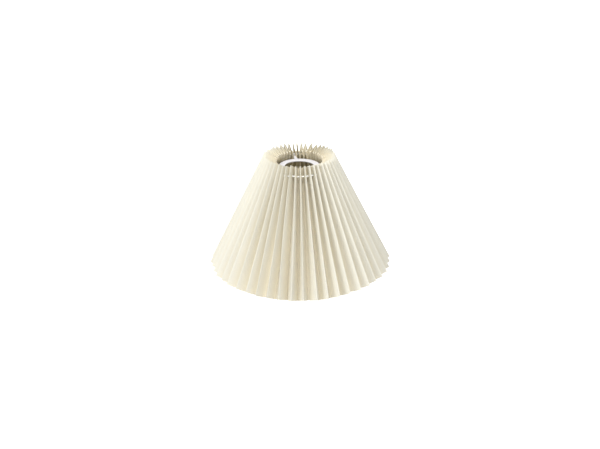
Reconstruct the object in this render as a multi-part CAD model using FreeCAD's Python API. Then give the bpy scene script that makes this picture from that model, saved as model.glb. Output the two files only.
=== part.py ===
import FreeCAD, Part
import math
import os
from FreeCAD import Vector

# A hand-pleated cone lamp shade. One folded sheet is drawn together near its top by a cord that
# runs through a hole in every panel. Inside, a flat fitter ring with three tongues carries the cord.
# Millimetres. The origin is on the axis, at the height of the lowest hem points, and +Z is up.
# Azimuth 0 is the front, -Y, and it grows towards +X. A ridge fold stands at azimuth 0.

# --- driving dimensions ---
PLEATS = 48
HEM_RIDGE_R = 135.0      # outer folds at the hem
TOP_RIDGE_R = 51.0       # outer folds at the top
RIDGE_RISE = 166.7       # height of an outer fold
PANEL_WIDTH = 20.6       # one flat panel, from fold to fold
SHEET_T = 0.4            # laminated sheet

CORD_D = 2.0
CORD_HOLE_D = 3.0
CORD_R = 48.0            # the cord's circle, about halfway into the pleats
CORD_PULL = 0.45         # pulled tight, the cord lies this far inward of each hole's middle
CORD_ABOVE_HEM = 150.2   # above the ridge folds' lower ends

RING_OUTER_R = 30.0
RING_HOLE_R = 21.0
RING_T = 1.5

TONGUE_T = 1.5           # as thick as the ring, and flush with it
TONGUE_TAPER_R = 36.0
TONGUE_TIP_R = 51.0
TONGUE_ROOT_WIDTH = 4.0
TONGUE_TIP_WIDTH = 0.9
TONGUE_LUG_T = 1.2       # upturned end
TONGUE_LUG_RISE = 2.4    # above the tongue's top face
TONGUE_AZIMUTHS = {"back": 187.5, "right": 67.5, "left": 307.5}

OVERLAP_WIDTH = 15.0     # glued end of the strip
OVERLAP_DROP = 1.2       # the glued end sits this much lower
OVERLAP_START = 0.5      # distance of its first edge from the ridge fold
OVERLAP_AZIMUTH = -90.0
GLUE_T = 0.15
GLUE_MARGIN = 0.6

KNOT_R = 2.7
KNOT_STRAND_OFFSET = 0.9 # the two strands lie one over the other, pressed together
KNOT_PLACE_R = 33.2
KNOT_AZIMUTH = -82.5
TAIL_LENGTH = 12.0
TAIL_SPLAY = 20.0        # degrees from straight down

# --- worked out from the driving dimensions ---
HALF_PITCH = math.radians(180.0 / PLEATS)
SLANT = math.atan2(HEM_RIDGE_R - TOP_RIDGE_R, RIDGE_RISE)
HALF_T = SHEET_T / 2
UP = Vector(0, 0, 1)


def cut_plane_point(inward, across, ridge_r, ridge_z):
    """Point of the plane that cuts a pleat square to its ridge fold."""
    radial = ridge_r - inward * math.cos(SLANT)
    return Vector(across, -radial, ridge_z - inward * math.sin(SLANT))


def valley_radius(ridge_r):
    """Radius of the inner fold that lies one panel width from the outer fold."""
    c, s, k = math.cos(HALF_PITCH), math.sin(HALF_PITCH), math.cos(SLANT)
    square = (c / k) ** 2 + s ** 2
    middle = ridge_r * c / k ** 2
    rest = (ridge_r / k) ** 2 - PANEL_WIDTH ** 2
    return (middle - math.sqrt(middle ** 2 - square * rest)) / square


def fold_half_angle(ridge_r):
    """Angle between a panel and the pleat's own middle plane."""
    valley = valley_radius(ridge_r)
    inward = (ridge_r - valley * math.cos(HALF_PITCH)) / math.cos(SLANT)
    return math.atan2(valley * math.sin(HALF_PITCH), inward)


def panel_point(along, off, ridge_r, ridge_z):
    """Point of the panel on the +X side: along from the ridge fold, off from the sheet's middle."""
    b = fold_half_angle(ridge_r)
    inward = along * math.cos(b) - off * math.sin(b)
    across = along * math.sin(b) + off * math.cos(b)
    return cut_plane_point(inward, across, ridge_r, ridge_z)


def valley_outer_point(ridge_r, ridge_z):
    """Where the panel's outer face meets its neighbour's, in the plane between two pleats."""
    b = fold_half_angle(ridge_r)
    k, t = math.cos(SLANT), math.tan(HALF_PITCH)
    reach = ridge_r * t + HALF_T * math.sin(b) * k * t - HALF_T * math.cos(b)
    along = reach / (math.sin(b) + math.cos(b) * k * t)
    return panel_point(along, HALF_T, ridge_r, ridge_z)


def valley_middle_point(ridge_r, ridge_z):
    """Middle of the blunt inner fold, in the plane between two pleats."""
    end = panel_point(PANEL_WIDTH, -HALF_T, ridge_r, ridge_z)
    radius = -end.y * math.cos(HALF_PITCH) + end.x * math.sin(HALF_PITCH)
    inward = (ridge_r - radius * math.cos(HALF_PITCH)) / math.cos(SLANT)
    return cut_plane_point(inward, radius * math.sin(HALF_PITCH), ridge_r, ridge_z)


HEM_RIDGE_Z = -valley_middle_point(HEM_RIDGE_R, 0.0).z
TOP_RIDGE_Z = HEM_RIDGE_Z + RIDGE_RISE
CORD_Z = HEM_RIDGE_Z + CORD_ABOVE_HEM
TONGUE_Z = CORD_Z - CORD_D / 2 - TONGUE_T
RING_Z = TONGUE_Z + TONGUE_T - RING_T


def turned(shape, azimuth):
    """A copy of the shape, turned about the shade's axis."""
    copy = shape.copy()
    copy.rotate(Vector(0, 0, 0), UP, azimuth)
    return copy


def mirrored(point):
    return Vector(-point.x, point.y, point.z)


def lofted(top, hem):
    """Side faces between two loops of matching points."""
    faces = []
    for i in range(len(top)):
        j = (i + 1) % len(top)
        upper = Part.makeLine(top[i], top[j])
        lower = Part.makeLine(hem[i], hem[j])
        faces.append(Part.makeRuledSurface(upper, lower))
    return faces


def flat(loop):
    return Part.Face(Part.makePolygon(loop + [loop[0]]))


def closed(faces):
    shell = Part.makeShell(faces)
    shell.sewShape()
    return Part.makeSolid(shell)


def cord_hole():
    """Straight bore across one pleat, for the cord."""
    length = 2 * (CORD_R * math.sin(HALF_PITCH) - 0.2)
    start = Vector(-length / 2, -CORD_R - CORD_PULL, CORD_Z)
    return Part.makeCylinder(CORD_HOLE_D / 2, length, start, Vector(1, 0, 0))


def pleat_loop(ridge_r, ridge_z):
    """Outline of one pleat's sheet in the cut plane, from its right ridge edge round."""
    b = fold_half_angle(ridge_r)
    right = [
        panel_point(0.0, HALF_T, ridge_r, ridge_z),
        valley_outer_point(ridge_r, ridge_z),
        valley_middle_point(ridge_r, ridge_z),
        panel_point(PANEL_WIDTH, -HALF_T, ridge_r, ridge_z),
    ]
    inside = cut_plane_point(HALF_T / math.sin(b), 0.0, ridge_r, ridge_z)
    return right + [inside] + [mirrored(p) for p in reversed(right)]


def one_pleat():
    top = pleat_loop(TOP_RIDGE_R, TOP_RIDGE_Z)
    hem = pleat_loop(HEM_RIDGE_R, HEM_RIDGE_Z)
    pleat = closed(lofted(top, hem) + [flat(top), flat(hem)])
    return pleat.cut(cord_hole())


def between_pleats(face):
    """True for the two faces where a pleat meets its neighbours."""
    normal = face.normalAt(0, 0)
    side = Vector(math.cos(HALF_PITCH), math.sin(HALF_PITCH), 0)
    on_plane = all(
        abs(abs(v.Point.x) + v.Point.y * math.tan(HALF_PITCH)) < 1e-6 for v in face.Vertexes
    )
    square = max(abs(normal.dot(side)), abs(normal.dot(mirrored(side)))) > 0.999999
    return on_plane and square


def pleated_sheet():
    skin = [f for f in one_pleat().Faces if not between_pleats(f)]
    faces = []
    for i in range(PLEATS):
        faces += [turned(f, 360.0 * i / PLEATS) for f in skin]
    return closed(faces)


def panel_slab(first, last, near, far, drop):
    """Thin slab on the outer side of one panel, set down by drop along the fold."""
    lowered = drop * math.cos(SLANT)
    moved = drop * math.sin(SLANT)
    loops = []
    for ridge_r, ridge_z in ((TOP_RIDGE_R, TOP_RIDGE_Z), (HEM_RIDGE_R, HEM_RIDGE_Z)):
        corners = ((first, near), (last, near), (last, far), (first, far))
        loop = [panel_point(a, o, ridge_r, ridge_z) for a, o in corners]
        loops.append([p + Vector(0, -moved, -lowered) for p in loop])
    slab = closed(lofted(*loops) + [flat(loop) for loop in loops])
    return turned(slab.cut(cord_hole()), OVERLAP_AZIMUTH)


def drawstring():
    return Part.makeTorus(CORD_R, CORD_D / 2, Vector(0, 0, CORD_Z), UP)


def drawstring_knot():
    """Knot inside the shade, the two ends of cord that reach it, and its tails."""
    middle = Vector(0, -KNOT_PLACE_R, CORD_Z)
    knot = Part.makeSphere(KNOT_R, middle)
    for side in (-1, 1):
        start = middle + Vector(0, 0, side * KNOT_STRAND_OFFSET)
        reach = CORD_R - KNOT_PLACE_R
        knot = knot.fuse(Part.makeCylinder(CORD_D / 2, reach, start, Vector(0, -1, 0)))
        angle = math.radians(TAIL_SPLAY)
        down = Vector(side * math.sin(angle), 0, -math.cos(angle))
        knot = knot.fuse(Part.makeCylinder(CORD_D / 2, TAIL_LENGTH, middle, down))
    return turned(knot.removeSplitter(), KNOT_AZIMUTH).cut(drawstring())


def ring_disc(radius):
    return Part.makeCylinder(radius, RING_T, Vector(0, 0, RING_Z), UP)


def fitter_ring():
    return ring_disc(RING_OUTER_R).cut(ring_disc(RING_HOLE_R))


def tongue(azimuth):
    """Flat tongue joined to the ring's rim, reaching into a pleat under the cord, with an upturned tip."""
    root, tip = TONGUE_ROOT_WIDTH / 2, TONGUE_TIP_WIDTH / 2
    outline = [
        Vector(-root, -RING_HOLE_R, TONGUE_Z),
        Vector(root, -RING_HOLE_R, TONGUE_Z),
        Vector(root, -TONGUE_TAPER_R, TONGUE_Z),
        Vector(tip, -TONGUE_TIP_R, TONGUE_Z),
        Vector(-tip, -TONGUE_TIP_R, TONGUE_Z),
        Vector(-root, -TONGUE_TAPER_R, TONGUE_Z),
    ]
    blade = flat(outline).extrude(Vector(0, 0, TONGUE_T)).cut(ring_disc(RING_OUTER_R))
    corner = Vector(-tip, -TONGUE_TIP_R, TONGUE_Z)
    lug = Part.makeBox(2 * tip, TONGUE_LUG_T, TONGUE_T + TONGUE_LUG_RISE, corner)
    return turned(blade.fuse(lug).removeSplitter(), azimuth)


def main():
    glue_end = OVERLAP_START + OVERLAP_WIDTH
    glue_far = HALF_T + GLUE_T
    nodes = {
        "pleated_sheet": pleated_sheet(),
        "seam_overlap": panel_slab(
            OVERLAP_START, glue_end, glue_far, glue_far + SHEET_T, OVERLAP_DROP
        ),
        "seam_adhesive": panel_slab(
            OVERLAP_START + GLUE_MARGIN, glue_end - GLUE_MARGIN, HALF_T, glue_far, OVERLAP_DROP
        ),
        "drawstring": drawstring(),
        "drawstring_knot": drawstring_knot(),
        "fitter_ring": fitter_ring(),
    }
    for side, azimuth in TONGUE_AZIMUTHS.items():
        nodes["carrier_tongue_" + side] = tongue(azimuth)
    os.makedirs("parts", exist_ok=True)
    for name, shape in nodes.items():
        shape.exportStep("parts/" + name + ".step")
        box = shape.BoundBox
        print(
            f"{name}: valid {shape.isValid()}, solids {len(shape.Solids)}, "
            f"volume {shape.Volume:.1f} mm3, z {box.ZMin:.2f} to {box.ZMax:.2f}, "
            f"x {box.XMin:.2f} to {box.XMax:.2f}, y {box.YMin:.2f} to {box.YMax:.2f}"
        )


main()
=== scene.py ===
import math
import random

import bpy
from mathutils import Matrix, Vector


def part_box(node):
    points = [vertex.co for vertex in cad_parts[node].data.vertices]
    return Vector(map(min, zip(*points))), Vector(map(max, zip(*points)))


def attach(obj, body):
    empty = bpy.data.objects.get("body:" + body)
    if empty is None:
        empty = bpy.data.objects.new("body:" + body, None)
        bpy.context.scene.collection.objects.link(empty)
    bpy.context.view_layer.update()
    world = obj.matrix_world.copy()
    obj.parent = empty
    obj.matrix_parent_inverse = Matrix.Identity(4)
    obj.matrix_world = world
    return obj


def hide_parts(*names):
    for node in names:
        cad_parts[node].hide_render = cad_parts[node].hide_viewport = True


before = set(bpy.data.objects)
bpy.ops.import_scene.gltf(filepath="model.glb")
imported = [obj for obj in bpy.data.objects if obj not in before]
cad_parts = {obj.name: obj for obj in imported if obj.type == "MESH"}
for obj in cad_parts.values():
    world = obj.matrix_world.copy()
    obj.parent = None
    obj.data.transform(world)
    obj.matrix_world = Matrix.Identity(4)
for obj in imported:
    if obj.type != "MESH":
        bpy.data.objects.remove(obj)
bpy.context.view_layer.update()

# A hand-pleated cone shade, in metres, in the CAD frame: +Z up, the front at -Y.
# Azimuth 0 is the front and grows towards +X. Pleat 0 has its ridge fold at azimuth 0.

# --- the sheet, as cut and folded ---
PLEATS = 48
PANEL_W = 0.0206
SHEET_T = 0.0004
HALF_T = SHEET_T / 2
HEM_RIDGE_R = 0.135
TOP_RIDGE_R = 0.051
RIDGE_RISE = 0.1667
NOSE_OVER_RIDGE = 0.00005
TOP_RIDGE_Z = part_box("pleated_sheet")[1][2] - NOSE_OVER_RIDGE
HEM_RIDGE_Z = TOP_RIDGE_Z - RIDGE_RISE
FOLD_LENGTH = math.hypot(HEM_RIDGE_R - TOP_RIDGE_R, RIDGE_RISE)
OVERLAP_W = 0.015
OVERLAP_DROP = 0.0012
GLUE_T = 0.00015

# --- the cord and its holes ---
CORD_D = 0.002
CORD_R = 0.048
CORD_Z = sum(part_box("drawstring")[i][2] for i in (0, 1)) / 2
CORD_PULL = 0.00045
HOLE_R = 0.0015

HALF_PITCH = math.pi / PLEATS
SLANT = math.atan2(HEM_RIDGE_R - TOP_RIDGE_R, RIDGE_RISE)
SIN_SLANT, COS_SLANT = math.sin(SLANT), math.cos(SLANT)


def hole_place():
    """Where the cord's circle cuts a panel: along the ridge fold from the top, and inward from it."""
    out = CORD_R + CORD_PULL - TOP_RIDGE_R
    up = CORD_Z - TOP_RIDGE_Z
    return out * SIN_SLANT - up * COS_SLANT, -out * COS_SLANT - up * SIN_SLANT


HOLE_ALONG, HOLE_INWARD = hole_place()
HOLE_SHARE = HOLE_ALONG / FOLD_LENGTH

# how a hand-folded shade strays from the even one: (at the top, at the hem)
AZIMUTH_STRAY = (math.radians(0.4), math.radians(0.32))
RADIUS_STRAY = (0.0005, 0.0008)
LIFT_STRAY = (0.0005, 0.0005)
BOW_STRAY = 0.00055
CALM_SHARE = 0.2
STRAY_SEED = 48
# the panels spring back into a shallow S across their width, and belly a little along it
PANEL_CURL = 0.00042
CURL_RANGE = (0.5, 1.3)
CURL_LOST_AT_HEM = 0.8
BELLY_MEAN, BELLY_SPREAD = 0.0001, 0.0002
BELLY_AT_TOP = 0.6
# how far a fold's round nose reaches into the pleat, how far it stands back, and where the faces join
NOSE_DEPTH = 0.0006
NOSE_SETBACK = 0.9 * HALF_T
FOLD_JOIN = 0.07
# above the cord the free edge fans out towards the back, and leaves one pleat there open
FAN_OUT, FAN_MIDDLE, FAN_PLEATS = 0.005, 23.5, 12
OPEN_PLACE, OPEN_FADE = 21, 5
OPEN_BEFORE, OPEN_AFTER = math.radians(-1.4), math.radians(2.8)
TONGUE_PLEATS = {"back": 25, "right": 9, "left": 41}
KNOT_PLEAT = 37
SEAM_PLEAT = 36
HELD_PLEATS = list(TONGUE_PLEATS.values()) + [KNOT_PLEAT]


# ---------------------------------------------------------------- geometry of one pleat

def mix(a, b, t):
    return a + (b - a) * t


def smooth(t):
    t = min(max(t, 0.0), 1.0)
    return t * t * (3 - 2 * t)


def valley_radius(ridge_r):
    """Radius of the inner fold that lies one panel width from the outer fold."""
    c, s = math.cos(HALF_PITCH), math.sin(HALF_PITCH)
    square = (c / COS_SLANT) ** 2 + s ** 2
    middle = ridge_r * c / COS_SLANT ** 2
    rest = (ridge_r / COS_SLANT) ** 2 - PANEL_W ** 2
    return (middle - math.sqrt(middle ** 2 - square * rest)) / square


class Section:
    """The pleat cut square to its ridge fold, a distance along below the top edge."""

    def __init__(self, along):
        self.t = along / FOLD_LENGTH
        self.ridge_r = mix(TOP_RIDGE_R, HEM_RIDGE_R, self.t)
        self.ridge_z = mix(TOP_RIDGE_Z, HEM_RIDGE_Z, self.t)
        valley = valley_radius(self.ridge_r)
        self.depth = (self.ridge_r - valley * math.cos(HALF_PITCH)) / COS_SLANT
        self.reach = valley * math.sin(HALF_PITCH)
        self.half_angle = math.atan2(self.reach, self.depth)
        self.crease = HALF_T / math.sin(self.half_angle) / self.depth

    def sector_half_width(self, inward):
        return (self.ridge_r - inward * COS_SLANT) * math.tan(HALF_PITCH)

    def radius_and_height(self, inward):
        return self.ridge_r - inward * COS_SLANT, self.ridge_z - inward * SIN_SLANT


class Stray:
    """Small steady errors of one fold: its turn about the axis, its radius, its height and its bow."""

    def __init__(self, dice):
        self.turn = [dice.gauss(0, s) for s in AZIMUTH_STRAY]
        self.out = [dice.gauss(0, s) for s in RADIUS_STRAY]
        self.lift = [dice.gauss(0, LIFT_STRAY[0]), abs(dice.gauss(0, LIFT_STRAY[1]))]
        self.bow = dice.gauss(0, BOW_STRAY)
        self.open = self.fan = 0.0

    def calm(self, share):
        self.turn[0] *= share
        self.out[0] *= share
        self.lift[0] *= share

    def at(self, t, radius):
        turn = mix(*self.turn, t) + self.bow * math.sin(math.pi * t) / radius
        free = max(0.0, 1 - t / HOLE_SHARE)
        return turn + self.open * free, mix(*self.out, t) + self.fan * free, mix(*self.lift, t)


def pleats_between(a, b):
    """Signed steps from pleat a to pleat b, the short way round."""
    return (b - a + PLEATS / 2) % PLEATS - PLEATS / 2


def open_turn(place):
    """How far the open pleat turns a fold at the top edge."""
    steps = pleats_between(OPEN_PLACE, place)
    push = min(abs(steps), 1.0) * smooth(1 - (abs(steps) - 1) / OPEN_FADE)
    return push * (OPEN_BEFORE if steps < 0 else OPEN_AFTER)


def fan_at(place):
    """How far the free edge leans outward at a fold."""
    return FAN_OUT * smooth(1 - abs(pleats_between(FAN_MIDDLE, place)) / FAN_PLEATS)


def folds_with_strays(dice):
    """The strays of every ridge fold and every valley fold, smaller beside a tongue or the knot."""
    ridges = [Stray(dice) for _ in range(PLEATS)]
    valleys = [Stray(dice) for _ in range(PLEATS)]
    for i in range(PLEATS):
        held = any(abs(pleats_between(i, pleat)) <= 1 for pleat in HELD_PLEATS)
        for stray, place in ((ridges[i], i), (valleys[i], i + 0.5)):
            stray.calm(CALM_SHARE if held else 1.0)
            stray.open, stray.fan = open_turn(place), fan_at(place)
    return ridges, valleys


dice = random.Random(STRAY_SEED)
ridge_stray, valley_stray = folds_with_strays(dice)
panel_curl = [dice.uniform(*CURL_RANGE) for _ in range(2 * PLEATS)]
panel_belly = [dice.gauss(BELLY_MEAN, BELLY_SPREAD) for _ in range(2 * PLEATS)]


def panel_number(pleat, side):
    return (2 * pleat + (1 if side > 0 else 0)) % (2 * PLEATS)


def fan_out(pleat, side, across_share, section, inward, across):
    """Where a point of one even pleat goes on the shade, with the strays of its two folds."""
    valley = pleat if side > 0 else (pleat - 1) % PLEATS
    ridge_at = ridge_stray[pleat % PLEATS].at(section.t, section.ridge_r)
    valley_at = valley_stray[valley].at(section.t, section.ridge_r)
    turn, out, lift = (mix(a, b, across_share) for a, b in zip(ridge_at, valley_at))
    radial, height = section.radius_and_height(inward)
    radius = math.hypot(radial, across) + out
    azimuth = math.atan2(side * across, radial) + 2 * math.pi * pleat / PLEATS + turn
    return Vector((radius * math.sin(azimuth), -radius * math.cos(azimuth), height + lift))


def middle_line(section, u, number):
    """Half the gap between a pleat's two panels at depth u: the straight panel, its curl and belly."""
    curl = PANEL_CURL * panel_curl[number] * (1 - CURL_LOST_AT_HEM * section.t) * math.sin(2 * math.pi * u)
    belly = panel_belly[number] * math.sin(math.pi * u) * (BELLY_AT_TOP + section.t)
    return section.reach * u + curl + belly


def nose(depth_left):
    """How far the sheet's face has opened, that far behind the tip of a fold."""
    q = min(max(depth_left / NOSE_DEPTH, 0.0), 1.0)
    return math.sqrt(max(0.0, 1 - (1 - q) ** 2))


def outer_face(section, u, v, half_gap):
    """Inward and across places on the outer face, round at the ridge fold and shut at the valley."""
    opened = nose(u * section.depth)
    width = section.sector_half_width(u * section.depth)
    across = (half_gap + HALF_T) * opened
    if v > 1 - FOLD_JOIN:
        across = mix(across, width, smooth((v - 1 + FOLD_JOIN) / FOLD_JOIN))
    return u * section.depth - NOSE_SETBACK * (1 - opened), min(across, width)


def inner_face(section, u, v, half_gap):
    """Inward and across places on the inner face, shut at the ridge fold and round at the valley."""
    opened = nose((1 - u) * section.depth)
    inward = u * section.depth + NOSE_SETBACK * (1 - opened)
    width = section.sector_half_width(inward)
    across = half_gap - HALF_T
    if v < FOLD_JOIN:
        across = mix(0.0, across, smooth(v / FOLD_JOIN))
    return inward, min(width - (width - across) * opened, width)


def depth_share(skin, v, section):
    """Share of the pleat's depth, where v goes from the ridge to the valley along one face."""
    return v * (1 - section.crease) if skin > 0 else mix(section.crease, 1.0, v)


def skin_point(pleat, side, skin, v, section):
    """Point of the sheet's outer (skin 1) or inner (skin -1) face, v from the ridge to the valley."""
    u = depth_share(skin, v, section)
    half_gap = middle_line(section, u, panel_number(pleat, side))
    face = outer_face if skin > 0 else inner_face
    inward, across = face(section, u, v, half_gap)
    return fan_out(pleat, side, v, section, inward, across)


# ---------------------------------------------------------------- mesh building

def new_object(name, points, faces, strip_uv=None, wrap=None, crisp=35.0):
    """A mesh object from points and faces. strip_uv holds a flat (u, v) in metres for each point."""
    mesh = bpy.data.meshes.new(name)
    mesh.from_pydata([tuple(p) for p in points], [], faces)
    mesh.update()
    mesh.polygons.foreach_set("use_smooth", [True] * len(mesh.polygons))
    mesh.set_sharp_from_angle(angle=math.radians(crisp))
    if strip_uv:
        layer = mesh.uv_layers.new(name="cloth")
        for polygon in mesh.polygons:
            corners = [strip_uv[mesh.loops[i].vertex_index] for i in polygon.loop_indices]
            far = max(c[0] for c in corners)
            for i, (u, v) in zip(polygon.loop_indices, corners):
                late = wrap and far - u > wrap / 2
                layer.data[i].uv = (u + wrap if late else u, v)
    obj = bpy.data.objects.new(name, mesh)
    bpy.context.scene.collection.objects.link(obj)
    return obj


def next_round(items):
    """Each item with the one after it, and the last with the first."""
    return list(zip(items, items[1:] + items[:1]))


# Rows of points run round the shade and columns run down it. Five of each, at HOLE_STEPS from a
# hole's centre, make the square round that hole, whose 16 outer points join the hole's 16 sides.
HOLE_STEPS = (-0.003, -0.0015, 0.0, 0.0015, 0.003)
HOLE_SPAN = len(HOLE_STEPS) - 1
HOLE_SIDES = 4 * HOLE_SPAN
# round that square, (column, row), from the side away from the ridge fold
HOLE_WALK = (
    [(4, j) for j in (2, 3, 4)] + [(i, 4) for i in (3, 2, 1, 0)]
    + [(0, j) for j in (3, 2, 1, 0)] + [(i, 0) for i in (1, 2, 3, 4)] + [(4, 1)]
)
# columns beside each fold, as shares of the panel, and rows beside the rims, as distances
EDGE_STEPS = (0.0, 0.008, 0.024, 0.06, 0.17)
RIM_STEPS = (0.0, 0.0012, 0.004, 0.0072)
BELOW_HOLE = 0.005
LOWER_ROWS = 21
HEM_STEP = 0.0012


def hole_circle():
    """Inward and along places of the points round a cord hole."""
    angles = [2 * math.pi * i / HOLE_SIDES for i in range(HOLE_SIDES)]
    return [(HOLE_INWARD + HOLE_R * math.cos(a), HOLE_ALONG + HOLE_R * math.sin(a)) for a in angles]


def row_places():
    """Distances below the top edge of the sheet's rows of points, with five rows across the holes."""
    hole = [HOLE_ALONG + step for step in HOLE_STEPS]
    start, end = hole[-1] + BELOW_HOLE, FOLD_LENGTH - HEM_STEP
    lower = [mix(start, end, i / LOWER_ROWS) for i in range(LOWER_ROWS + 1)]
    return list(RIM_STEPS) + hole + lower + [FOLD_LENGTH]


ROWS = row_places()
SECTIONS = [Section(a) for a in ROWS]
HOLE_ROW = ROWS.index(HOLE_ALONG + HOLE_STEPS[0])
HOLE_COLUMN = len(EDGE_STEPS)


def share_across(skin, inward, section):
    u = inward / section.depth
    return u / (1 - section.crease) if skin > 0 else (u - section.crease) / (1 - section.crease)


def column_shares(skin):
    hole = [share_across(skin, HOLE_INWARD + s, SECTIONS[HOLE_ROW + HOLE_SPAN // 2]) for s in HOLE_STEPS]
    return list(EDGE_STEPS) + hole + [1 - e for e in reversed(EDGE_STEPS)]


COLUMNS = {skin: column_shares(skin) for skin in (1, -1)}
PER_PANEL = len(COLUMNS[1]) - 1
AROUND = 2 * PLEATS * PER_PANEL


def column_place(c):
    """Pleat, side and index of the share, for the c-th column round the shade from a ridge fold."""
    panel, k = divmod(c % AROUND, PER_PANEL)
    pleat = (panel + 1) // 2
    return (pleat, 1, k) if panel % 2 == 0 else (pleat, -1, PER_PANEL - k)


def strip_place(pleat, side, inward, section, along):
    """Flat coordinates of a point on the strip, before it was folded."""
    across = inward / math.cos(section.half_angle)
    return ((2 * pleat * PANEL_W + side * across) % (2 * PLEATS * PANEL_W), along)


class PunchedMesh:
    """The points, flat places and faces of a thin solid that has cord holes."""

    def __init__(self):
        self.points, self.uv, self.faces = [], [], []

    def add(self, point, uv):
        self.points.append(point)
        self.uv.append(uv)
        return len(self.points) - 1

    def face(self, outward, corners):
        self.faces.append(corners if outward else corners[::-1])

    def join_rings(self, outward, first, second):
        """Faces between two rings of points."""
        for (a, b), (c, d) in next_round(list(zip(first, second))):
            self.face(outward, [a, c, d, b])


def inside_hole(row, column, hole_column):
    """Whether a point lies within the square round a hole."""
    rows_in = HOLE_ROW < row < HOLE_ROW + HOLE_SPAN
    return rows_in and hole_column < column < hole_column + HOLE_SPAN


def over_hole(row, column, hole_column):
    """Whether the face below and beside a point lies in the square round a hole."""
    rows_in = HOLE_ROW <= row < HOLE_ROW + HOLE_SPAN
    return rows_in and hole_column <= column < hole_column + HOLE_SPAN


class SheetMesh(PunchedMesh):
    """The whole pleated strip as one closed thin solid, with a punched hole in each panel."""

    def __init__(self):
        super().__init__()
        self.grid = {1: {}, -1: {}}
        self.rings = {}
        for skin in (1, -1):
            self.place_points(skin)
            self.join_points(skin)
            self.rings[skin] = [self.punch(skin, panel) for panel in range(2 * PLEATS)]
        self.close_rims()
        self.line_holes()

    def place_points(self, skin):
        grid, shares = self.grid[skin], COLUMNS[skin]
        for c in range(AROUND):
            pleat, side, k = column_place(c)
            for row, section in enumerate(SECTIONS):
                if not inside_hole(row, k, HOLE_COLUMN):
                    inward = depth_share(skin, shares[k], section) * section.depth
                    flat = strip_place(pleat, side, inward, section, ROWS[row])
                    grid[row, c] = self.add(skin_point(pleat, side, skin, shares[k], section), flat)

    def join_points(self, skin):
        grid = self.grid[skin]
        for c in range(AROUND):
            d = (c + 1) % AROUND
            nearest = min(column_place(c)[2], column_place(d)[2])
            for row in range(len(ROWS) - 1):
                if not over_hole(row, nearest, HOLE_COLUMN):
                    corners = [(row, c), (row + 1, c), (row + 1, d), (row, d)]
                    self.face(skin > 0, [grid[place] for place in corners])

    def punch(self, skin, panel):
        """The faces between one panel's hole and the square round it. Returns the hole's points."""
        first = panel * PER_PANEL
        pleat, side, _ = column_place(first + 1)
        origin = first + HOLE_COLUMN if side > 0 else first + PER_PANEL - HOLE_COLUMN
        square = [self.grid[skin][HOLE_ROW + j, (origin + side * i) % AROUND] for i, j in HOLE_WALK]
        ring = []
        for inward, along in hole_circle():
            section = Section(along)
            v = share_across(skin, inward, section)
            flat = strip_place(pleat, side, inward, section, along)
            ring.append(self.add(skin_point(pleat, side, skin, v, section), flat))
        self.join_rings(skin * side < 0, square, ring)
        return ring

    def close_rims(self):
        last = len(ROWS) - 1
        outer, inner = self.grid[1], self.grid[-1]
        for c in range(AROUND):
            d = (c + 1) % AROUND
            self.faces.append([outer[0, c], outer[0, d], inner[0, d], inner[0, c]])
            self.faces.append([inner[last, c], inner[last, d], outer[last, d], outer[last, c]])

    def line_holes(self):
        for panel, (outer, inner) in enumerate(zip(self.rings[1], self.rings[-1])):
            self.join_rings(panel % 2 == 1, outer, inner)


def pleated_sheet():
    made = SheetMesh()
    return new_object(
        "pleated_fabric", made.points, made.faces, made.uv, wrap=2 * PLEATS * PANEL_W
    )


def raised_point(pleat, side, inward, off, along):
    """Point that stands off the sheet's middle, on the outer side of one panel."""
    section = Section(along)
    u = inward / section.depth
    across = middle_line(section, u, panel_number(pleat, side)) + off
    share = share_across(1, inward, section)
    return fan_out(pleat, side, share, section, inward, across)


class SeamSlab(PunchedMesh):
    """A closed thin slab over the seam's panel, between two distances from its ridge fold."""

    HOLE_COLUMN = 2

    def __init__(self, first, last, near, far):
        super().__init__()
        hole = [HOLE_INWARD + step for step in HOLE_STEPS]
        self.columns = [first, mix(first, hole[0], 0.5)] + hole + [mix(hole[-1], last, 0.5), last]
        self.rows = [OVERLAP_DROP, mix(OVERLAP_DROP, ROWS[2], 0.5)] + ROWS[2:-1]
        self.rows.append(FOLD_LENGTH + OVERLAP_DROP)
        self.grid = {}
        rings = [self.make_layer(layer, off) for layer, off in enumerate((near, far))]
        self.close_edge()
        self.join_rings(True, rings[0], rings[1])

    def put(self, inward, along, off):
        flat = strip_place(SEAM_PLEAT, 1, inward, Section(along), along)
        return self.add(raised_point(SEAM_PLEAT, 1, inward, off, along), flat)

    def make_layer(self, layer, off):
        """The near (0) or far (1) face of the slab. Returns the points of its hole."""
        for row, along in enumerate(self.rows):
            for k, inward in enumerate(self.columns):
                if not inside_hole(row, k, self.HOLE_COLUMN):
                    self.grid[layer, row, k] = self.put(inward, along, off)
        for row in range(len(self.rows) - 1):
            for k in range(len(self.columns) - 1):
                if not over_hole(row, k, self.HOLE_COLUMN):
                    cells = [(row, k), (row + 1, k), (row + 1, k + 1), (row, k + 1)]
                    self.face(layer, [self.grid[(layer,) + cell] for cell in cells])
        square = [self.grid[layer, HOLE_ROW + j, self.HOLE_COLUMN + i] for i, j in HOLE_WALK]
        ring = [self.put(inward, along, off) for inward, along in hole_circle()]
        self.join_rings(not layer, square, ring)
        return ring

    def close_edge(self):
        last_row, last_k = len(self.rows) - 1, len(self.columns) - 1
        edge = [(row, 0) for row in range(last_row)] + [(last_row, k) for k in range(last_k)]
        edge += [(row, last_k) for row in range(last_row, 0, -1)] + [(0, k) for k in range(last_k, 0, -1)]
        near, far = ([self.grid[(layer,) + place] for place in edge] for layer in (0, 1))
        self.join_rings(False, far, near)


def panel_slab(name, first, last, near, far):
    made = SeamSlab(first, last, near, far)
    return new_object(name, made.points, made.faces, made.uv)


# ---------------------------------------------------------------- cord, knot, ring and tongues

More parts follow.
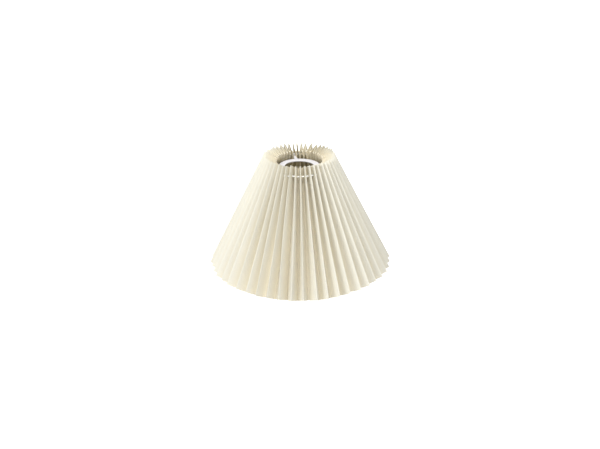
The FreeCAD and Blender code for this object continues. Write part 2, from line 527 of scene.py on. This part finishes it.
CORD_STEP = 0.0007
LAY_PITCH = 0.0065
STRANDS = 3
STRAND_SIDES = 8
STRAND_R = CORD_D * 0.27
STRAND_GIRTH = 0.003
# a strand's cross-section, cut square to the cord, leans along it
STRAND_BESIDE, STRAND_AHEAD = 0.92, 0.2
LAY_R = CORD_D / 2 - STRAND_R


def smooth_line(points, steps):
    """A smooth line through the points, as Catmull-Rom spans."""
    last, made = len(points) - 1, []
    for i in range(last):
        a, b, c, d = (points[min(max(i + k, 0), last)] for k in (-1, 0, 1, 2))
        for j in range(steps):
            t = j / steps
            curve = 2 * b + (c - a) * t + (2 * a - 5 * b + 4 * c - d) * t * t
            made.append(0.5 * (curve + (3 * b - a - 3 * c + d) * t ** 3))
    return made + [points[-1]]


def even_steps(line, step):
    """The line's points again, at even distances."""
    made, carried = [line[0]], 0.0
    for a, b in zip(line, line[1:]):
        length = (b - a).length
        while carried + length >= step:
            share = (step - carried) / length
            a = a.lerp(b, share)
            length = (b - a).length
            carried = 0.0
            made.append(a)
        carried += length
    return made


def frames_along(line):
    """Two crosswise unit vectors at each point, turning as little as possible."""
    side = Vector((0, 0, 1))
    made = []
    for i in range(len(line)):
        ahead = (line[min(i + 1, len(line) - 1)] - line[max(i - 1, 0)]).normalized()
        side = (side - ahead * side.dot(ahead)).normalized()
        made.append((side.copy(), ahead.cross(side)))
    return made


def quads_between(a, b, sides):
    """Faces between two rings of points that start at a and b."""
    return [[a + j, a + k, b + k, b + j] for j, k in next_round(list(range(sides)))]


def swept(rings):
    """Points and faces of a tube through rings of points, closed at both ends."""
    sides = len(rings[0])
    end = (len(rings) - 1) * sides
    faces = [list(range(sides))[::-1]]
    for start in range(0, end, sides):
        faces += quads_between(start, start + sides, sides)
    faces.append([end + j for j in range(sides)])
    return [p for ring in rings for p in ring], faces


def strand_rings(line, strand):
    """Rings of points along one strand, as it winds round the line."""
    rings = []
    for i, (middle, (x, y)) in enumerate(zip(line, frames_along(line))):
        turn = 2 * math.pi * (strand / STRANDS + i * CORD_STEP / LAY_PITCH)
        out = x * math.cos(turn) + y * math.sin(turn)
        beside = (y * math.cos(turn) - x * math.sin(turn)) * STRAND_BESIDE + x.cross(y) * STRAND_AHEAD
        centre = middle + out * LAY_R
        angles = [2 * math.pi * k / STRAND_SIDES for k in range(STRAND_SIDES)]
        rings.append([
            centre + out * STRAND_R * math.cos(a) + beside * STRAND_R * math.sin(a) for a in angles
        ])
    return rings


def twisted_cord(name, lines):
    """Three strands laid round one or more lines, as a twisted cord."""
    points, faces, uv = [], [], []
    for line in lines:
        line = even_steps(line, CORD_STEP)
        for strand in range(STRANDS):
            base = len(points)
            made_points, made_faces = swept(strand_rings(line, strand))
            points += made_points
            faces += [[base + i for i in face] for face in made_faces]
            for i in range(len(made_points)):
                step, side = divmod(i, STRAND_SIDES)
                uv.append((CORD_STEP * step, STRAND_GIRTH * side / STRAND_SIDES))
    return new_object(name, points, faces, uv, crisp=60)


def on_axis_circle(radius, degrees, height):
    a = math.radians(degrees)
    return Vector((radius * math.sin(a), -radius * math.cos(a), height))


PITCH_DEG = 360 / PLEATS
KNOT_DEG = (KNOT_PLEAT - PLEATS) * PITCH_DEG
KNOT_R = 0.0332
CORD_END_RADII = (KNOT_R, 0.038, 0.0435)
CORD_END_APART = 0.0009
# where an end meets the threaded round: this far inside it, and this far round from the knot
MEETING_INSIDE, MEETING_DEG, MEETING_SHARE = 0.0008, 0.4, 0.7
THREADED_INWARD = HOLE_INWARD + 0.9 * CORD_PULL
SPAN_STEPS = 6


def cord_end(side):
    """One end of the cord, from the knot out to the sheet, above (1) or below (-1) the other end."""
    end = [on_axis_circle(r, KNOT_DEG, CORD_Z + side * CORD_END_APART) for r in CORD_END_RADII]
    meeting_z = CORD_Z + side * CORD_END_APART * MEETING_SHARE
    end.append(on_axis_circle(CORD_R - MEETING_INSIDE, KNOT_DEG + side * MEETING_DEG, meeting_z))
    return end


def cord_line():
    """The drawn cord: out from the knot, round through every panel's hole, and back to the knot."""
    threaded = []
    for i in range(PLEATS):
        pleat = (KNOT_PLEAT + i) % PLEATS
        threaded.append(raised_point(pleat, 1, THREADED_INWARD, 0.0, HOLE_ALONG))
        threaded.append(raised_point((pleat + 1) % PLEATS, -1, THREADED_INWARD, 0.0, HOLE_ALONG))
    inner = [(a + 2 * b + c) / 4 for a, b, c in zip(threaded, threaded[1:], threaded[2:])]
    loop = [threaded[0]] + inner + [threaded[-1]]
    return smooth_line(cord_end(1) + loop + cord_end(-1)[::-1], SPAN_STEPS)


KNOT_MIDDLE = on_axis_circle(KNOT_R, KNOT_DEG, CORD_Z)
KNOT_OUTWARD = on_axis_circle(1.0, KNOT_DEG, 0.0)
KNOT_SIDEWAYS = on_axis_circle(1.0, KNOT_DEG + 90, 0.0)
UP = Vector((0, 0, 1))
KNOT_SCALE = 0.00062
KNOT_THROUGH = 0.001
KNOT_STEPS = 60
TAIL_APART = 0.0006
TAIL_PLACES = ((0.0, 0.0005), (0.0012, -0.003), (0.0026, -0.0068), (0.0038, -0.0108))


def knot_loop():
    """A trefoil, which is the shape of a tight overhand knot."""
    loop = []
    for i in range(KNOT_STEPS):
        a = 2 * math.pi * i / KNOT_STEPS
        x = math.sin(a) + 2 * math.sin(2 * a)
        y = math.cos(a) - 2 * math.cos(2 * a)
        z = -math.sin(3 * a)
        flat = KNOT_SIDEWAYS * (x * KNOT_SCALE) + UP * (y * KNOT_SCALE)
        loop.append(KNOT_MIDDLE + flat + KNOT_OUTWARD * (z * KNOT_THROUGH))
    return loop + [loop[0]]


def knot_tail(side):
    """A short end of cord that hangs from the knot and leans to one side."""
    start = KNOT_MIDDLE - KNOT_OUTWARD * (TAIL_APART * side)
    return smooth_line([start + KNOT_SIDEWAYS * (side * a) + UP * b for a, b in TAIL_PLACES], SPAN_STEPS)


def soft_rectangle(half_w, half_h, soft, steps):
    """Points round a rectangle whose corners have the radius soft, with steps arcs of each corner."""
    made = []
    for quarter, (x, y) in enumerate(((1, 1), (-1, 1), (-1, -1), (1, -1))):
        for i in range(steps + 1):
            a = math.radians(90 * (quarter + i / steps))
            made.append((x * (half_w - soft) + soft * math.cos(a), y * (half_h - soft) + soft * math.sin(a)))
    return made


RING_HOLE_SHARE = 0.7
RING_SOFT = 0.0003
RING_STEPS = 144


def fitter_ring():
    """Flat ring with softened edges."""
    low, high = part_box("fitter_ring")
    outer, hole = high[0], high[0] * RING_HOLE_SHARE
    profile = soft_rectangle((outer - hole) / 2, (high[2] - low[2]) / 2, RING_SOFT, 4)
    middle_r, middle_z = (outer + hole) / 2, (high[2] + low[2]) / 2
    points, faces = [], []
    for i in range(RING_STEPS):
        degrees = 360 * i / RING_STEPS
        points += [on_axis_circle(middle_r + r, degrees, middle_z + z) for r, z in profile]
    for a, b in next_round(list(range(0, len(points), len(profile)))):
        faces += quads_between(b, a, len(profile))
    return new_object("flat_fitter_ring", points, faces, crisp=40)


# the tongues leave the ring's rim, narrow and thin on their way out, and turn up at the end
TONGUE_RADII = (0.0297, 0.0308, 0.033, 0.036, 0.040, 0.044, 0.047)
TONGUE_TIP_R = 0.0507
TONGUE_BEND_R = 0.0009
TONGUE_BEND_STEPS = 5
TONGUE_ROOT_HALF_W, TONGUE_TIP_HALF_W = 0.002, 0.00045
TONGUE_FLARE = 0.0011
# radii between which a tongue narrows, loses its flare and thins
TONGUE_NARROWS = (0.0345, 0.05)
TONGUE_FLARES = (0.0325, 0.0295)
TONGUE_THINS = (0.046, 0.0505)
TONGUE_TIP_HALF_T = 0.0005
TONGUE_SOFT = 0.00022
TONGUE_CLEAR = 0.00001
TONGUE_END_CLEAR = 0.0001


def eased(start, end, x):
    return smooth((x - start) / (end - start))


def tongue_stations(rise):
    """Radius, height and lean in degrees along the middle of a tongue."""
    bend_start = TONGUE_TIP_R - TONGUE_BEND_R
    made = [(r, 0.0, 0) for r in TONGUE_RADII + (bend_start,)]
    for i in range(1, TONGUE_BEND_STEPS + 1):
        lean = 90 * i / TONGUE_BEND_STEPS
        a = math.radians(lean)
        made.append((bend_start + TONGUE_BEND_R * math.sin(a), TONGUE_BEND_R * (1 - math.cos(a)), lean))
    return made + [(TONGUE_TIP_R, rise, 90)]


def tongue_section(r, thick):
    """The outline across a tongue at a radius, with softened corners."""
    half_w = mix(TONGUE_ROOT_HALF_W, TONGUE_TIP_HALF_W, eased(*TONGUE_NARROWS, r))
    half_w += TONGUE_FLARE * eased(*TONGUE_FLARES, r)
    half_t = mix(thick / 2 - TONGUE_CLEAR, TONGUE_TIP_HALF_T, eased(*TONGUE_THINS, r))
    return soft_rectangle(half_w, half_t, min(TONGUE_SOFT, half_w * 0.45, half_t * 0.45), 3)


def tongue(side):
    """A bent strip from the ring's rim to its upturned end in a pleat."""
    low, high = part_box("carrier_tongue_" + side)
    ring_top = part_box("fitter_ring")[1][2]
    thick = ring_top - low[2]
    degrees = TONGUE_PLEATS[side] * PITCH_DEG
    out = on_axis_circle(1.0, degrees, 0.0)
    across = on_axis_circle(1.0, degrees + 90, 0.0)
    rings = []
    for r, rise, lean in tongue_stations(high[2] - ring_top + thick / 2 - TONGUE_END_CLEAR):
        a = math.radians(lean)
        normal = UP * math.cos(a) - out * math.sin(a)
        middle = out * r + UP * (ring_top - thick / 2 + rise)
        rings.append([middle + across * x + normal * y for x, y in tongue_section(r, thick)])
    points, faces = swept(rings)
    return new_object("tongue_" + side, points, faces, crisp=40)


# ---------------------------------------------------------------- materials

class Recipe:
    """A node material under construction, with short ways to add its nodes."""

    def __init__(self, name):
        self.material = bpy.data.materials.new(name)
        self.material.use_nodes = True
        self.tree = self.material.node_tree
        self.base = self.tree.nodes["Principled BSDF"]

    def put(self, socket, value):
        if isinstance(value, bpy.types.NodeSocket):
            self.tree.links.new(value, socket)
        else:
            socket.default_value = value

    def add(self, kind, inputs=(), **settings):
        made = self.tree.nodes.new(kind)
        for key, value in settings.items():
            setattr(made, key, value)
        for key, value in dict(inputs).items():
            self.put(made.inputs[key], value)
        return made

    def math(self, operation, *values):
        made = self.add("ShaderNodeMath", enumerate(values), operation=operation)
        return made.outputs[0]

    def noise(self, place, scale, detail=2.0):
        inputs = {"Vector": place, "Scale": scale, "Detail": detail}
        return self.add("ShaderNodeTexNoise", inputs).outputs["Fac"]

    def stretched(self, place, factors):
        made = self.add("ShaderNodeVectorMath", {0: place, 1: factors}, operation="MULTIPLY")
        return made.outputs[0]

    def blend(self, share, dark, light, how="MIX"):
        made = self.add("ShaderNodeMix", data_type="RGBA", blend_type=how)
        for socket, value in zip(("Factor", "A", "B"), (share, dark, light)):
            found = [i for i in made.inputs if i.name == socket and i.enabled][0]
            self.put(found, value)
        return [o for o in made.outputs if o.enabled][0]

    def bump(self, height, distance, strength=1.0):
        inputs = {"Height": height, "Distance": distance, "Strength": strength}
        return self.add("ShaderNodeBump", inputs).outputs[0]

    def surface(self, **values):
        for key, value in values.items():
            self.put(self.base.inputs[key.replace("_", " ").title().replace("Ior", "IOR")], value)


THREAD = 0.00042
SLUB_RUNS = ((2600.0, 90.0, 1.0), (90.0, 2600.0, 1.0))
CREAM_DARK = (0.84, 0.84, 0.78, 1)
CREAM_LIGHT = (0.91, 0.92, 0.89, 1)
SHINE_THROUGH = (0.95, 0.89, 0.72, 1)
SHINE_SHARE = 0.4
WHITE = (1, 1, 1, 1)
# painted shade: the warm tint that stands in for light bounced deep inside the pleats
VALLEY_SHADE_TINT = (1.0, 0.965, 0.89, 1)
PALE_RIDGE_W = 0.0011


def weave_and_slub(r, place, across_and_along):
    """A plain weave, and the uneven thickness of its threads."""
    waves = [r.math("SINE", r.math("MULTIPLY", u, 2 * math.pi / THREAD)) for u in across_and_along]
    slubs = [r.noise(r.stretched(place, run), 1.0, 3.0) for run in SLUB_RUNS]
    return r.math("MULTIPLY", *waves), r.math("ADD", *slubs)


def cloth_tone(r, place, fold, weave, slub):
    """Where the cloth is darker or lighter: slubs, soft blotches, threads and a paler band along each ridge
    fold.
    """
    blotch = r.noise(place, 34.0, 3.0)
    # lighter within about a millimetre of each ridge fold, darker beyond it
    off_ridge = r.math("SMOOTH_MIN", r.math("DIVIDE", fold, PALE_RIDGE_W), 1.0, 0.3)
    tone = r.math("MULTIPLY_ADD", slub, 0.28, r.math("MULTIPLY", blotch, 0.55))
    tone = r.math("MULTIPLY_ADD", weave, 0.05, tone)
    return r.math("MULTIPLY_ADD", off_ridge, -0.16, r.math("ADD", tone, 0.2))


def fabric_material():
    """Plain-woven cream cloth laminated on a stiff film that lets light through, with painted shade: a warm
    tint that grows from each ridge fold towards its valley.
    """
    r = Recipe("laminated_cream_fabric")
    place = r.add("ShaderNodeUVMap", uv_map="cloth").outputs[0]
    split = r.add("ShaderNodeSeparateXYZ", {0: place})
    weave, slub = weave_and_slub(r, place, split.outputs[:2])
    fold = r.math("PINGPONG", split.outputs[0], PANEL_W)
    # painted shade: the cloth, and the light it lets through, turn warmer from each ridge fold towards its
    # valley
    valley_shade_share = r.math("SMOOTH_MIN", r.math("DIVIDE", fold, 0.75 * PANEL_W), 1.0, 0.3)
    painted_valley_shade = r.blend(valley_shade_share, WHITE, VALLEY_SHADE_TINT)
    cream = r.blend(cloth_tone(r, place, fold, weave, slub), CREAM_DARK, CREAM_LIGHT)
    height = r.math("MULTIPLY_ADD", slub, 0.6, r.math("MULTIPLY", weave, 0.35))
    normal = r.bump(height, 0.00004, 0.6)
    rough = r.math("MULTIPLY_ADD", slub, 0.12, 0.62)
    r.surface(base_color=r.blend(1.0, cream, painted_valley_shade, "MULTIPLY"), normal=normal, roughness=rough)
    r.surface(sheen_weight=0.08, sheen_roughness=0.5, specular_ior_level=0.3)
    glow = r.blend(1.0, SHINE_THROUGH, painted_valley_shade, "MULTIPLY")
    through = r.add("ShaderNodeBsdfTranslucent", {"Color": glow, "Normal": normal})
    mixed = r.add("ShaderNodeMixShader", {0: SHINE_SHARE, 1: r.base.outputs[0], 2: through.outputs[0]})
    r.put(r.tree.nodes["Material Output"].inputs["Surface"], mixed.outputs[0])
    return r.material


def cord_material():
    """Bleached cotton cord: fine fibres that follow the lay of the strands."""
    r = Recipe("bleached_cotton_cord")
    place = r.add("ShaderNodeUVMap", uv_map="cloth").outputs[0]
    fibre = r.noise(r.stretched(place, (350.0, 6000.0, 1.0)), 1.0, 2.0)
    soil = r.noise(place, 60.0, 2.0)
    tone = r.math("MULTIPLY_ADD", fibre, 0.6, r.math("MULTIPLY", soil, 0.4))
    colour = r.blend(tone, (0.88, 0.87, 0.84, 1), (0.97, 0.97, 0.96, 1))
    r.surface(base_color=colour, normal=r.bump(fibre, 0.00006, 0.8), roughness=0.85, sheen_weight=0.15)
    return r.material


def enamel_material():
    """White powder coat on steel: faint orange peel and slightly uneven gloss."""
    r = Recipe("white_powder_coat")
    place = r.add("ShaderNodeTexCoord").outputs["Object"]
    peel = r.noise(place, 900.0, 2.0)
    haze = r.noise(place, 120.0, 3.0)
    colour = r.blend(haze, (0.55, 0.54, 0.555, 1), (0.62, 0.61, 0.63, 1))
    rough = r.math("MULTIPLY_ADD", haze, 0.14, 0.28)
    r.surface(base_color=colour, normal=r.bump(peel, 0.00005, 0.5), roughness=rough)
    return r.material


def adhesive_material():
    """Dried clear glue: slightly yellow and uneven."""
    r = Recipe("dried_glue")
    place = r.add("ShaderNodeTexCoord").outputs["Object"]
    flow = r.noise(place, 260.0, 3.0)
    colour = r.blend(flow, (0.70, 0.62, 0.43, 1), (0.84, 0.79, 0.63, 1))
    rough = r.math("MULTIPLY_ADD", flow, 0.3, 0.2)
    r.surface(base_color=colour, normal=r.bump(flow, 0.00008, 0.6), roughness=rough)
    return r.material


# ---------------------------------------------------------------- pieces

fabric, cotton, enamel, glue = fabric_material(), cord_material(), enamel_material(), adhesive_material()


def place_piece(piece, material, slot, *nodes):
    piece.data.materials.append(material)
    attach(piece, "root")
    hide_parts(*nodes)
    return piece


OVER_GLUE = HALF_T + GLUE_T
FLAP_START = 0.0005
GLUE_MARGIN = 0.0006
FLAP_END = FLAP_START + OVERLAP_W
sheet = place_piece(pleated_sheet(), fabric, "laminated_fabric", "pleated_sheet")
flap = place_piece(
    panel_slab("seam_flap", FLAP_START, FLAP_END, OVER_GLUE, OVER_GLUE + SHEET_T),
    fabric, "laminated_fabric", "seam_overlap",
)
glue_film = place_piece(
    panel_slab("seam_glue", FLAP_START + GLUE_MARGIN, FLAP_END - GLUE_MARGIN, HALF_T, OVER_GLUE),
    glue, "adhesive", "seam_adhesive",
)
cord = place_piece(twisted_cord("gathering_cord", [cord_line()]), cotton, "cord", "drawstring")
place_piece(
    twisted_cord("cord_knot", [knot_loop(), knot_tail(-1), knot_tail(1)]),
    cotton, "cord", "drawstring_knot",
)
place_piece(fitter_ring(), enamel, "white_enamel", "fitter_ring")
for side in TONGUE_PLEATS:
    place_piece(tongue(side), enamel, "white_enamel", "carrier_tongue_" + side)


# ---------------------------------------------------------------- stage, camera and light

STUDIO_SIZE = 8
SWEEP_GLOW = 1.0
SWEEP_GREY = 0.8
FLOOR_GREY = 0.5
FLOOR_DROP = 0.0002


def stage_material(name, glow, grey):
    r = Recipe(name)
    r.surface(base_color=(grey, grey, grey, 1), roughness=0.9, emission_color=WHITE, emission_strength=glow)
    return r.material


def stage_box(name, size, bottom, faces, material):
    """Some faces of a box round the origin, as a stage: 0 is the floor, 1 to 4 the walls, 5 the ceiling."""
    square = ((-size, -size), (size, -size), (size, size), (-size, size))
    corners = [(x, y, z) for z in (bottom, size) for x, y in square]
    walls = [[k, k + 4, (k + 1) % 4 + 4, (k + 1) % 4] for k in range(4)]
    every_face = [[0, 1, 2, 3]] + walls + [[4, 7, 6, 5]]
    box = new_object(name, corners, [every_face[k] for k in faces])
    box.data.materials.append(material)
    return box


def stage_studio(size):
    """A white box that only the camera sees, over a pale floor that only light meets."""
    glowing = stage_material("white_sweep", SWEEP_GLOW, SWEEP_GREY)
    seen = stage_box("white_sweep", size, 0.0, range(6), glowing)
    for ray in ("diffuse", "glossy", "transmission", "volume_scatter", "shadow"):
        setattr(seen, "visible_" + ray, False)
    pale = stage_material("pale_floor", 0.0, FLOOR_GREY)
    lit = stage_box("pale_floor", size, -FLOOR_DROP, [0], pale)
    lit.visible_camera = False


def direction(azimuth, elevation):
    """Unit vector from the shade towards an azimuth and an elevation, both in degrees."""
    a, e = math.radians(azimuth), math.radians(elevation)
    return Vector((math.sin(a) * math.cos(e), -math.cos(a) * math.cos(e), math.sin(e)))


def area_light(name, azimuth, elevation, distance, size, power, colour):
    """A round lamp that faces the middle of the shade."""
    data = bpy.data.lights.new(name, "AREA")
    data.shape, data.size, data.energy, data.color = "DISK", size, power, colour
    light = bpy.data.objects.new(name, data)
    bpy.context.scene.collection.objects.link(light)
    away = direction(azimuth, elevation)
    light.location = Vector((0, 0, TOP_RIDGE_Z / 2)) + away * distance
    light.rotation_mode = "QUATERNION"
    light.rotation_quaternion = away.to_track_quat("Z", "Y")


def studio_camera(azimuth, elevation, distance, aim_z, lens, roll):
    """The scene's camera, which aims at a point on the shade's axis."""
    data = bpy.data.cameras.new("camera")
    data.sensor_width, data.lens = 36, lens
    camera = bpy.data.objects.new("camera", data)
    bpy.context.scene.collection.objects.link(camera)
    away = direction(azimuth, elevation)
    facing = away.to_track_quat("Z", "Y").to_matrix().to_4x4()
    turned = facing @ Matrix.Rotation(math.radians(roll), 4, "Z")
    camera.matrix_world = Matrix.Translation(Vector((0, 0, aim_z)) + away * distance) @ turned
    bpy.context.scene.camera = camera


stage_studio(STUDIO_SIZE)
studio_camera(azimuth=-1.7, elevation=23.575, distance=1.4175, aim_z=0.0649, lens=57.3, roll=-0.61)
area_light("key", azimuth=-50, elevation=35, distance=2.2, size=0.8, power=20, colour=(0.97, 0.985, 1))
area_light("overhead", azimuth=0, elevation=65, distance=2.2, size=0.8, power=60, colour=(1, 1, 1))

world = bpy.data.worlds.new("studio")
world.use_nodes = True
background = world.node_tree.nodes["Background"]
background.inputs["Color"].default_value = WHITE
background.inputs["Strength"].default_value = 0.32
bpy.context.scene.world = world
bpy.context.scene.view_settings.view_transform = "Standard"
